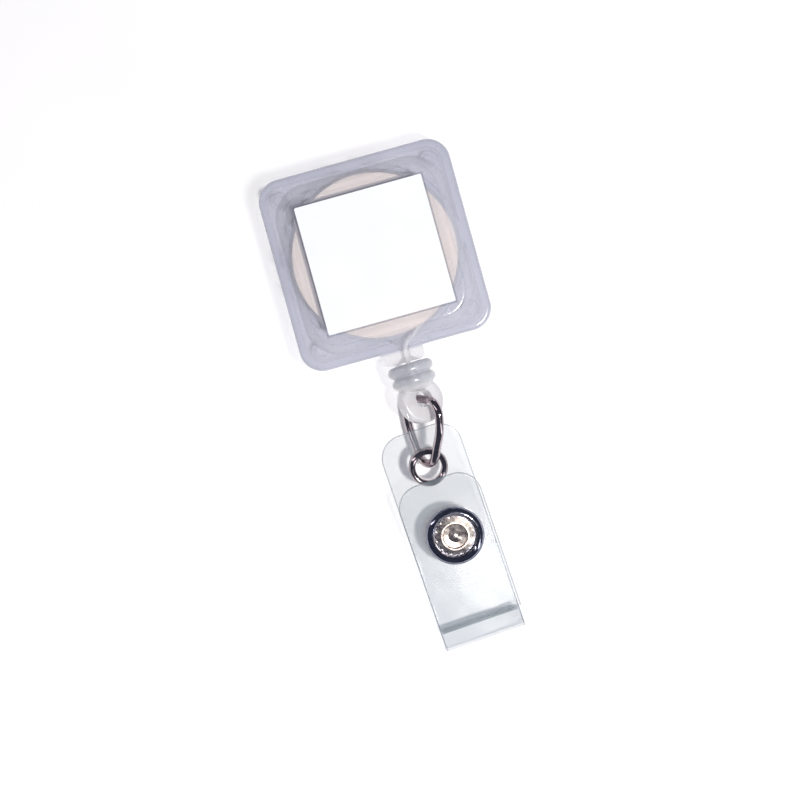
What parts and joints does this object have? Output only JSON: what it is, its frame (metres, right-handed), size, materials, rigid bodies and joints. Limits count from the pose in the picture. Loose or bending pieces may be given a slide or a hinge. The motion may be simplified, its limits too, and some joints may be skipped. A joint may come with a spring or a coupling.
{
  "type": "retractable badge reel",
  "caption": "Square translucent retractable badge reel with a belt clip, a pull-out cord, a ribbed cord end with an eye, a wire link and a clear strap with a snap fastener.",
  "frame": {"origin": "on the belt clip's outer face, straight below the axis of the spool and the middle of the square case", "axes": "+Y runs from the strap's fold through the cord toward the top of the case, the part's long way; +Z comes out of the label, square to the case, the part's thin way; +X is to the right when the label is read with the strap hanging down"},
  "size_m": [0.034, 0.0866, 0.012],
  "materials": {
    "frosted_shell": "translucent frosted, glossy skin",
    "frosted_fitting": "translucent frosted, soft",
    "white_label": "matt, blank",
    "spool_plastic": "pale beige moulding",
    "spring_steel": "blued strip",
    "cord_nylon": "braided nylon",
    "clip_nickel": "nickel plate",
    "dark_chrome": "bright dark plate",
    "warm_nickel": "warm nickel plate, coined",
    "clear_vinyl": "clear soft sheet"
  },
  "bodies": {
    "case": {"front_cover": "frosted_shell", "rear_cover": "frosted_shell", "label": "white_label", "power_spring": "spring_steel", "cord_guide_run": "cord_nylon", "belt_clip": "clip_nickel", "clip_rivet": "clip_nickel", "rivet_washer": "clip_nickel"},
    "rotor": {"spool": "spool_plastic", "cord_winding": "cord_nylon"},
    "cord": {"cord_lead": "cord_nylon", "cord_knot": "cord_nylon"},
    "cord_fitting": {"cord_end": "frosted_fitting"},
    "link": {"link_ring": "dark_chrome"},
    "strap": {"strap_back": "clear_vinyl", "eyelet": "dark_chrome", "eyelet_washer": "dark_chrome", "snap_stud": "warm_nickel", "snap_stud_rivet": "warm_nickel"},
    "flap": {"strap_flap": "clear_vinyl", "snap_cap": "dark_chrome", "snap_rivet": "warm_nickel", "snap_socket": "warm_nickel", "snap_spring": "spring_steel"}
  },
  "joints": [
    {"name": "cord_pull", "type": "slide", "parent": "case", "child": "cord", "axis": [0, -1, 0], "range_m": [0, 0.82], "stiffness_N_per_m": 0.6, "springref_m": -1},
    {"name": "spool_turn", "type": "hinge", "parent": "case", "child": "rotor", "pos_m": [0, 0, 0.0073], "axis": [0, 0, 1], "range_deg": [-4200, 0]},
    {"name": "cord_end_swivel", "type": "hinge", "parent": "cord", "child": "cord_fitting", "pos_m": [0.0006, -0.0192, 0.0073], "axis": [0.0436, -0.999, 0], "continuous": true},
    {"name": "link_swing", "type": "hinge", "parent": "cord_fitting", "child": "link", "pos_m": [0.00105, -0.02605, 0.00715], "axis": [0.4952, -0.2085, 0.8434], "range_deg": [-75, 75]},
    {"name": "strap_tilt", "type": "hinge", "parent": "link", "child": "strap", "pos_m": [-0.00027, -0.03407, 0.00594], "axis": [-0.8538, 0.0625, 0.5168], "range_deg": [-45, 45]},
    {"name": "flap_open", "type": "hinge", "parent": "strap", "child": "flap", "pos_m": [0.00088, -0.06545, 0.00352], "axis": [0.9981, 0.061, 0], "range_deg": [0, 150]}
  ],
  "couplings": [
    {"joint": "spool_turn", "follows": "cord_pull", "rad_per_m": -89.286}
  ]
}
